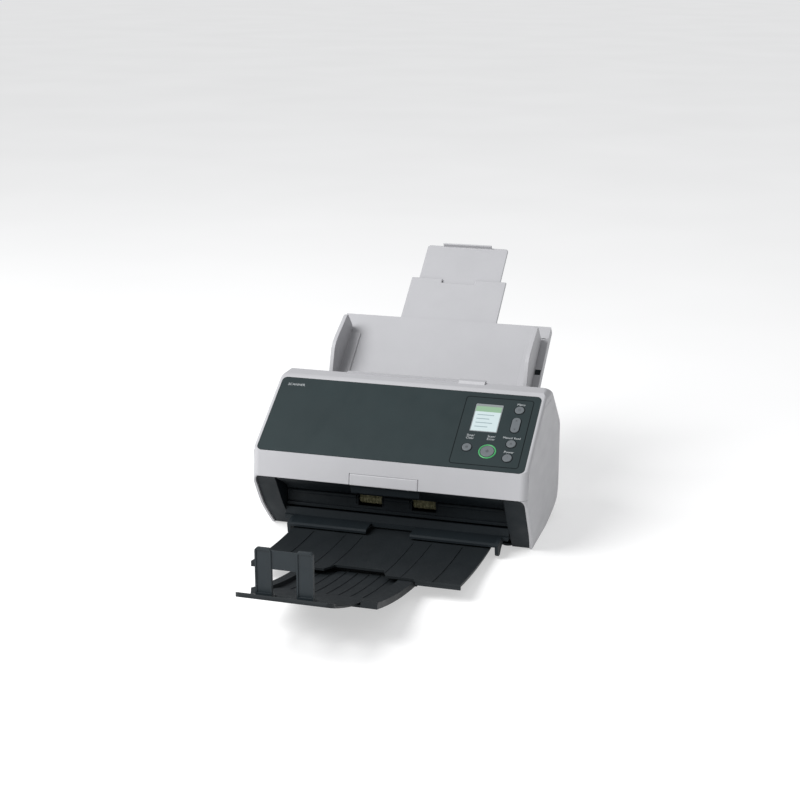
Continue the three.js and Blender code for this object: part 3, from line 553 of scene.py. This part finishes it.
# Symbols: name, the body they ride on, across and down, and corners about that place.
MENU_SYMBOLS = [
    (f"symbol_menu_{row + 2:.1f}", "menu_key", KEYS["menu"][:2], bar(row, 3.4, 0.5))
    for row in (-1.2, 0, 1.2)
]
SYMBOLS = (
    *MENU_SYMBOLS,
    ("symbol_stop", "stop_key", KEYS["stop"][:2], bar(0, 2.8, 2.8)),
    ("symbol_feed", "feed_key", KEYS["feed"][:2], arrow(-1.2, 1.6, 3.6)),
    ("symbol_power", "power_key", KEYS["power"][:2], bar(1.2, 0.5, 2)),
    ("symbol_up", "rocker", ROCKER[:2], arrow(5, 7.2, 2.8)),
    ("symbol_down", "rocker", ROCKER[:2], arrow(-5, -7.2, 2.8)),
    ("symbol_scan", "scan_key", SCAN_KEY, diamond(2.2)),
)


def add_symbols():
    """Generic symbols on the keys, printed a little darker than the keys."""
    symbol_ink = print_ink("symbol_ink", (0.06, 0.067, 0.072), grain=0.4 * MM)
    for name, body, place, outline in SYMBOLS:
        mesh = slab(name, [(x * MM, y * MM) for x, y in outline], INK_THICKNESS)
        add_piece(name, mesh, symbol_ink, body, on_panel(*place, KEY_TOP))


# The lit part of the display, across and down, mm: a status strip and a green header over a page.
DISPLAY = {"left": 78.5, "right": 106, "top": 16.5, "status_end": 18.7, "header_end": 26.1, "bottom": 52.4}
SCREEN_HEIGHT = -0.19  # above the panel, mm
SCREEN_THICKNESS = 0.03 * MM
# Lines of text on the page, long and short in turn; across and down from the display's corner, mm.
TEXT = {
    "lines": 4, "lengths": (18, 14), "height": 1.1,
    "across": 3, "down": 14, "pitch": 5.4, "above": 0.04,
}


def add_screen():
    """The lit strips of the display, and the lines of text on its page."""
    left, right = DISPLAY["left"], DISPLAY["right"]
    strips = (
        ("status", "top", "status_end", (0.20, 0.22, 0.22), 0.06),
        ("header", "status_end", "header_end", (0.20, 0.32, 0.21), 0.16),
        ("page", "header_end", "bottom", (0.40, 0.47, 0.48), 0.32),
    )
    for strip, from_line, to_line, colour, strength in strips:
        start, end = DISPLAY[from_line], DISPLAY[to_line]
        material = lit(f"screen_{strip}_light", colour, strength)
        outline = rounded_outline((right - left) * MM, (end - start) * MM, radius=0.2 * MM)
        mesh = slab(f"screen_{strip}", outline, SCREEN_THICKNESS)
        middle = on_panel((left + right) / 2, (start + end) / 2, SCREEN_HEIGHT)
        add_piece(f"screen_{strip}", mesh, material, "feeder_cover", middle)
    text_ink = lit("screen_ink", (0.24, 0.31, 0.33), strength=0.05)
    for row in range(TEXT["lines"]):
        width = TEXT["lengths"][row % 2]
        across = left + TEXT["across"] + width / 2
        down = DISPLAY["top"] + TEXT["down"] + row * TEXT["pitch"]
        outline = rounded_outline(width * MM, TEXT["height"] * MM, radius=0.3 * MM)
        mesh = slab(f"screen_line_{row}", outline, INK_THICKNESS)
        place = on_panel(across, down, SCREEN_HEIGHT + TEXT["above"])
        add_piece(f"screen_line_{row}", mesh, text_ink, "feeder_cover", place)


# The lit ring round the scan key: radius and height, mm.
SCAN_RING = ((7.75, 0.0), (7.75, 0.5), (8.1, 0.75), (9.0, 0.75), (9.4, 0.4), (9.4, 0.0))
RING_FOOT = -0.12  # above the panel, mm


def add_scan_ring():
    """The green ring round the scan key."""
    mesh = turned("scan_ring", SCAN_RING, steps=64)
    ring_light = lit("ring_light", (0.045, 0.24, 0.085), strength=0.3)
    add_piece("scan_ring", mesh, ring_light, "feeder_cover", on_panel(*SCAN_KEY, RING_FOOT))


# ---- The eject tyres: rows of blocks round a sleeve ----

TREAD_ROWS = 7
TREAD_BLOCKS = 30  # in each row
SPOKES_PER_BLOCK = 4  # points round each block; the first one is at the bottom of a groove
SPOKES = TREAD_BLOCKS * SPOKES_PER_BLOCK
TYRE_BORE = 3.3 * MM  # the radius of the hole
ROW_GROOVE = 0.7 * MM  # the depth between two rows
BLOCK_GROOVE = ROW_GROOVE * 0.8  # the depth between two blocks
ROW_EDGE = 0.12  # the sloping share of a row, at each end


def spoke_loop(shape, x, centre, reaches):
    """A loop of points about the axis, at x, one for each reach."""
    points = []
    for spoke, reach in enumerate(reaches):
        angle = 2 * math.pi * spoke / SPOKES
        points.append(shape.verts.new((
            x, centre.y + reach * math.cos(angle), centre.z + reach * math.sin(angle),
        )))
    return points


def add_tyre(name, node):
    """A tyre with a tread, in place of the plain one."""
    low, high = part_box(node)
    centre = (low + high) / 2
    radius = (high.z - low.z) / 2
    length = high.x - low.x
    edge = length / TREAD_ROWS * ROW_EDGE
    shape = bmesh.new()
    outer = []
    for row in range(TREAD_ROWS):
        start = low.x + length * row / TREAD_ROWS
        end = low.x + length * (row + 1) / TREAD_ROWS
        for x, sink in ((start, ROW_GROOVE), (start + edge, 0.0), (end - edge, 0.0), (end, ROW_GROOVE)):
            outer.append(spoke_loop(shape, x, centre, [
                radius - (sink if spoke % SPOKES_PER_BLOCK else max(sink, BLOCK_GROOVE))
                for spoke in range(SPOKES)
            ]))
    inner = [spoke_loop(shape, x, centre, [TYRE_BORE] * SPOKES) for x in (low.x, high.x)]
    bridge(shape, [inner[0], *outer, inner[1]])
    mesh = closed_mesh(name, shape)
    piece = add_piece(name, mesh, materials["khaki_rubber"], "eject_roller")
    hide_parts(node)


# ---- Details of the chute and the back ----

CHUTE_TILT = math.radians(38.8)
CHUTE_FOOT = Vector((0, 153.9, 141)) * MM
chute_plane = Matrix.Translation(CHUTE_FOOT) @ Matrix.Rotation(CHUTE_TILT, 4, "X")
# Across and up the chute; the depth is how far the piece's foot lies below it, mm.
CATCH = {"across": 118.7, "up": 23.25, "width": 6.2, "height": 7.1, "thickness": 1.1, "depth": 1.4}
MARK = {"across": 117, "up": 71, "width": 5, "height": 0.7, "thickness": 0.05, "depth": 0}


def add_chute_marks():
    """The dark catch in its pocket on the right of the chute, and the short line above it."""
    for name, part in (("chute_catch", CATCH), ("chute_mark", MARK)):
        outline = rounded_outline(part["width"] * MM, part["height"] * MM, radius=0.3 * MM)
        mesh = slab(name, outline, part["thickness"] * MM)
        offset = Vector((part["across"], part["up"], -part["depth"])) * MM
        place = chute_plane @ Matrix.Translation(offset)
        add_piece(name, mesh, materials["black_frame"], "chassis", place)


SCREWS = ((-128, 30), (128, 30), (-128, 94), (128, 94))  # across and up the rear cover, mm
# A pan head: radius and height, mm. Its middle has a tiny hole, which the dark plates of painted slot shade
# cover.
SCREW_HEAD = ((0.01, 0.0), (3.0, 0.0), (3.0, 0.5), (2.4, 1.1), (1.2, 1.35), (0.01, 1.4))
# The slots are not cut: two thin dark plates on each head stand for their shade, painted shade.
SLOT_SHADE = {"length": 2.6, "width": 0.6, "corner": 0.2, "thickness": 0.1, "height": 1.35}  # mm
SLOT_TURNS = (45, 135)  # degrees


def add_screws():
    """Pan head screws on the rear cover, each with a dark cross of painted shade for its slots."""
    _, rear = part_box("rear_cover")
    facing_back = Matrix.Rotation(math.radians(-90), 4, "X")
    slot_foot = Matrix.Translation((0, 0, SLOT_SHADE["height"] * MM))
    for number, (across, up) in enumerate(SCREWS, 1):
        place = Matrix.Translation(Vector((across * MM, rear.y, up * MM))) @ facing_back
        head = turned(f"screw_{number}", SCREW_HEAD, steps=32)
        add_piece(f"screw_{number}", head, materials["steel"], "chassis", place)
        for turn in SLOT_TURNS:
            name = f"screw_{number}_slot_{turn}"
            outline = rounded_outline(SLOT_SHADE["length"] * MM, SLOT_SHADE["width"] * MM, SLOT_SHADE["corner"] * MM)
            mesh = slab(name, outline, SLOT_SHADE["thickness"] * MM)
            turned_place = place @ slot_foot @ Matrix.Rotation(math.radians(turn), 4, "Z")
            add_piece(name, mesh, materials["black_frame"], "chassis", turned_place)


# ---- Stage ----

CAMERA_AT = Vector((453.6, -1499.1, 620.6)) * MM
CAMERA_AIM = Vector((-10.7, 64.9, 142.4)) * MM
LENS = 70.5
SENSOR_WIDTH = 36
FLOOR_REACH = 40.0
CLIP_END = 50  # past the end of the floor


def add_camera():
    camera = bpy.data.objects.new("camera", bpy.data.cameras.new("camera"))
    bpy.context.scene.collection.objects.link(camera)
    camera.location = CAMERA_AT
    camera.rotation_euler = (CAMERA_AIM - CAMERA_AT).to_track_quat("-Z", "Y").to_euler()
    camera.data.lens = LENS
    camera.data.sensor_width = SENSOR_WIDTH
    camera.data.clip_end = CLIP_END
    bpy.context.scene.camera = camera


def add_light(name, place, aim, size, power):
    """A round area light, its width in metres and its power in watts."""
    light = bpy.data.lights.new(name, "AREA")
    light.shape = "DISK"
    light.size = size
    light.energy = power
    lamp = bpy.data.objects.new(name, light)
    bpy.context.scene.collection.objects.link(lamp)
    lamp.location = place
    lamp.rotation_euler = (Vector(aim) - Vector(place)).to_track_quat("-Z", "Y").to_euler()


def floor_paper():
    """White paper that glows a little, so that the floor stays even to its end."""
    material, tree, shader, place = new_material("floor_paper")
    drift = noise(tree, place, size=0.5, detail=2)
    tone = ramp(tree, drift, (0.57, 0.57, 0.57), (0.585, 0.585, 0.585))
    tree.links.new(tone, shader.inputs["Base Color"])
    tree.links.new(tone, shader.inputs["Emission Color"])
    shader.inputs["Emission Strength"].default_value = 0.85
    shader.inputs["Specular IOR Level"].default_value = 0.0
    shader.inputs["Roughness"].default_value = 0.9
    return material


def add_stage():
    """A white floor that reaches far past the scanner on all sides."""
    mesh = bpy.data.meshes.new("floor")
    shape = bmesh.new()
    bmesh.ops.create_circle(shape, cap_ends=True, radius=FLOOR_REACH, segments=64)
    shape.to_mesh(mesh)
    shape.free()
    floor = bpy.data.objects.new("floor", mesh)
    bpy.context.scene.collection.objects.link(floor)
    mesh.materials.append(floor_paper())


def add_lighting():
    """An even grey world and one large soft light, high on the left in front."""
    world = bpy.data.worlds.new("studio")
    world.use_nodes = True
    background = world.node_tree.nodes["Background"]
    background.inputs["Color"].default_value = (0.97, 0.98, 1.0, 1)
    background.inputs["Strength"].default_value = 0.48
    bpy.context.scene.world = world
    add_light("key", place=(-1.15, -1.25, 1.7), aim=(0, 0, 0.1), size=1.6, power=68)
    bpy.context.scene.view_settings.view_transform = "Standard"


dress_nodes()
add_printing()
add_gap_shadows()
add_symbols()
add_screen()
add_scan_ring()
add_tyre("left_exit_tyre", "left_eject_tyre")
add_tyre("right_exit_tyre", "right_eject_tyre")
add_chute_marks()
add_screws()
add_stage()
add_lighting()
add_camera()

bpy.context.view_layer.update()
